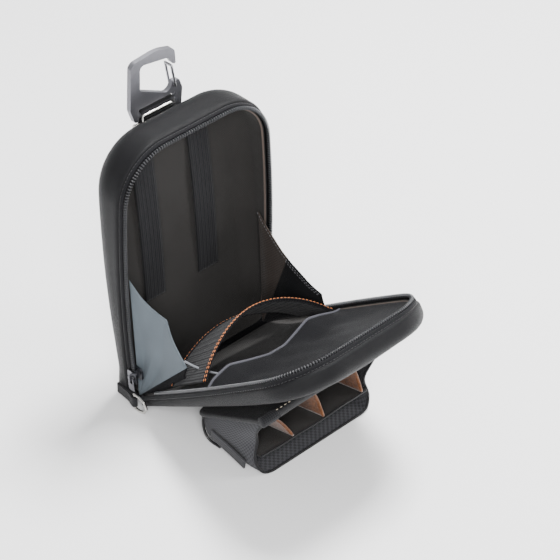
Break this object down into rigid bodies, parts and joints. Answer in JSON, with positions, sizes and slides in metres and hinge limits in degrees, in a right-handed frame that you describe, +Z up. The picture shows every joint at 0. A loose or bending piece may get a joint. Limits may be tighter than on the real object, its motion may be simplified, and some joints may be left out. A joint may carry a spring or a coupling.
{
  "type": "electrician tool pouch",
  "caption": "Moulded zip case that opens on a foot hinge, with a lined meter space, folded gussets, a folding tool pouch with divided pockets under its lid and a snap hook on top.",
  "frame": {"origin": "middle of the object's footprint box, on the ground it stands on", "axes": "+Z up, +X to the right of someone who faces the open case, the lid opens towards -Y"},
  "size_m": [0.1382, 0.209, 0.2367],
  "materials": {
    "shell_cloth": "matt coated cloth on moulded foam",
    "lining": "woven grey lining",
    "zip_tape": "woven tape",
    "zip_coil": "satin nylon coil",
    "piping": "taupe piping",
    "elastic": "ribbed elastic",
    "webbing": "ribbed webbing",
    "hook_metal": "bead-blasted anodised",
    "steel_wire": "drawn wire",
    "chrome": "bright plated",
    "slider_metal": "dark nickel",
    "orange_hem": "stitched orange hem",
    "panel_cloth": "smooth black cloth",
    "grey_binding": "grey binding tape",
    "gusset_grey": "blue-grey cloth",
    "gusset_taupe": "taupe mesh cloth",
    "board": "flat stiffener sheet",
    "bag_weave": "heavy charcoal weave",
    "tan_facing": "tan brushed facing",
    "black_piping": "satin piping"
  },
  "bodies": {
    "back_half": {"back_shell": "shell_cloth", "back_lining": "lining", "back_zip_tape": "zip_tape", "back_zip_coil": "zip_coil", "back_edge_piping": "piping", "back_elastic_bands": "elastic", "carry_loop": "webbing", "loop_bar": "chrome", "right_ring_tab": "webbing", "left_ring_tab": "webbing", "hinge_fabric": "shell_cloth", "gusset_left": "gusset_grey", "gusset_right": "gusset_taupe"},
    "lid": {"lid_shell": "shell_cloth", "lid_lining": "lining", "lid_zip_tape": "zip_tape", "lid_zip_coil": "zip_coil", "lid_edge_piping": "piping", "lid_elastic_band": "elastic", "lid_elastic_hems": "orange_hem", "lid_front_panel": "panel_cloth", "lid_panel_binding": "grey_binding", "pouch_hanger": "webbing"},
    "tool_pouch": {"pouch_panel": "panel_cloth", "pouch_board": "board", "pouch_lip_binding": "panel_cloth", "pouch_lip_ends": "webbing", "pouch_bag": "bag_weave", "pouch_cross_divider": "lining", "pouch_divider_left": "tan_facing", "pouch_divider_middle": "tan_facing", "pouch_divider_right": "tan_facing", "pouch_side_piping": "black_piping", "side_strap": "webbing", "strap_rivet": "chrome"},
    "hook": {"hook_plate": "hook_metal"},
    "gate": {"hook_gate": "steel_wire"},
    "side_ring": {"side_ring": "chrome"},
    "right_ring": {"right_d_ring": "chrome"},
    "left_ring": {"left_d_ring": "chrome"},
    "right_slider": {"right_zip_slider": "slider_metal"},
    "left_slider": {"left_zip_slider": "slider_metal"},
    "right_pull": {"right_zip_pull": "slider_metal"},
    "left_pull": {"left_zip_pull": "slider_metal"}
  },
  "joints": [
    {"name": "lid_hinge", "type": "hinge", "parent": "back_half", "child": "lid", "pos_m": [0, 0.05768, 0.01], "axis": [-1, 0, 0], "range_deg": [0, 54], "deforming": ["hinge_fabric", "gusset_left", "gusset_right", "lid_elastic_band", "lid_elastic_hems"]},
    {"name": "pouch_fold", "type": "hinge", "parent": "lid", "child": "tool_pouch", "pos_m": [0, 0.00768, 0.022], "axis": [-1, 0, 0], "range_deg": [0, 6]},
    {"name": "hook_swing", "type": "hinge", "parent": "back_half", "child": "hook", "pos_m": [0, 0.10052, 0.1933], "axis": [-1, 0, 0], "range_deg": [-40, 95]},
    {"name": "gate_press", "type": "hinge", "parent": "hook", "child": "gate", "pos_m": [0.0152, 0.10052, 0.2044], "axis": [0, -1, 0], "range_deg": [0, 25], "stiffness_Nm_per_rad": 0.02},
    {"name": "side_ring_swing", "type": "hinge", "parent": "back_half", "child": "side_ring", "pos_m": [-0.019, 0.09867, 0.1863], "axis": [1, 0, 0], "range_deg": [0, 85]},
    {"name": "right_ring_swing", "type": "hinge", "parent": "back_half", "child": "right_ring", "pos_m": [0.0664, 0.05468, 0.008], "axis": [0, 0, 1], "range_deg": [0, 110]},
    {"name": "left_ring_swing", "type": "hinge", "parent": "back_half", "child": "left_ring", "pos_m": [-0.0664, 0.05468, 0.008], "axis": [0, 0, -1], "range_deg": [0, 110]},
    {"name": "right_slider_run", "type": "hinge", "parent": "back_half", "child": "right_slider", "pos_m": [-0.8601, 0.05768, 0.1], "axis": [0, -1, 0], "range_deg": [0, 7.67]},
    {"name": "left_slider_run", "type": "hinge", "parent": "back_half", "child": "left_slider", "pos_m": [0.8601, 0.05768, 0.1], "axis": [0, 1, 0], "range_deg": [0, 7.67]},
    {"name": "right_pull_swing", "type": "hinge", "parent": "right_slider", "child": "right_pull", "pos_m": [0.06635, 0.05768, 0.02598], "axis": [0, -1, 0], "range_deg": [0, 150]},
    {"name": "left_pull_swing", "type": "hinge", "parent": "left_slider", "child": "left_pull", "pos_m": [-0.06635, 0.05768, 0.02598], "axis": [0, 1, 0], "range_deg": [0, 150]}
  ]
}
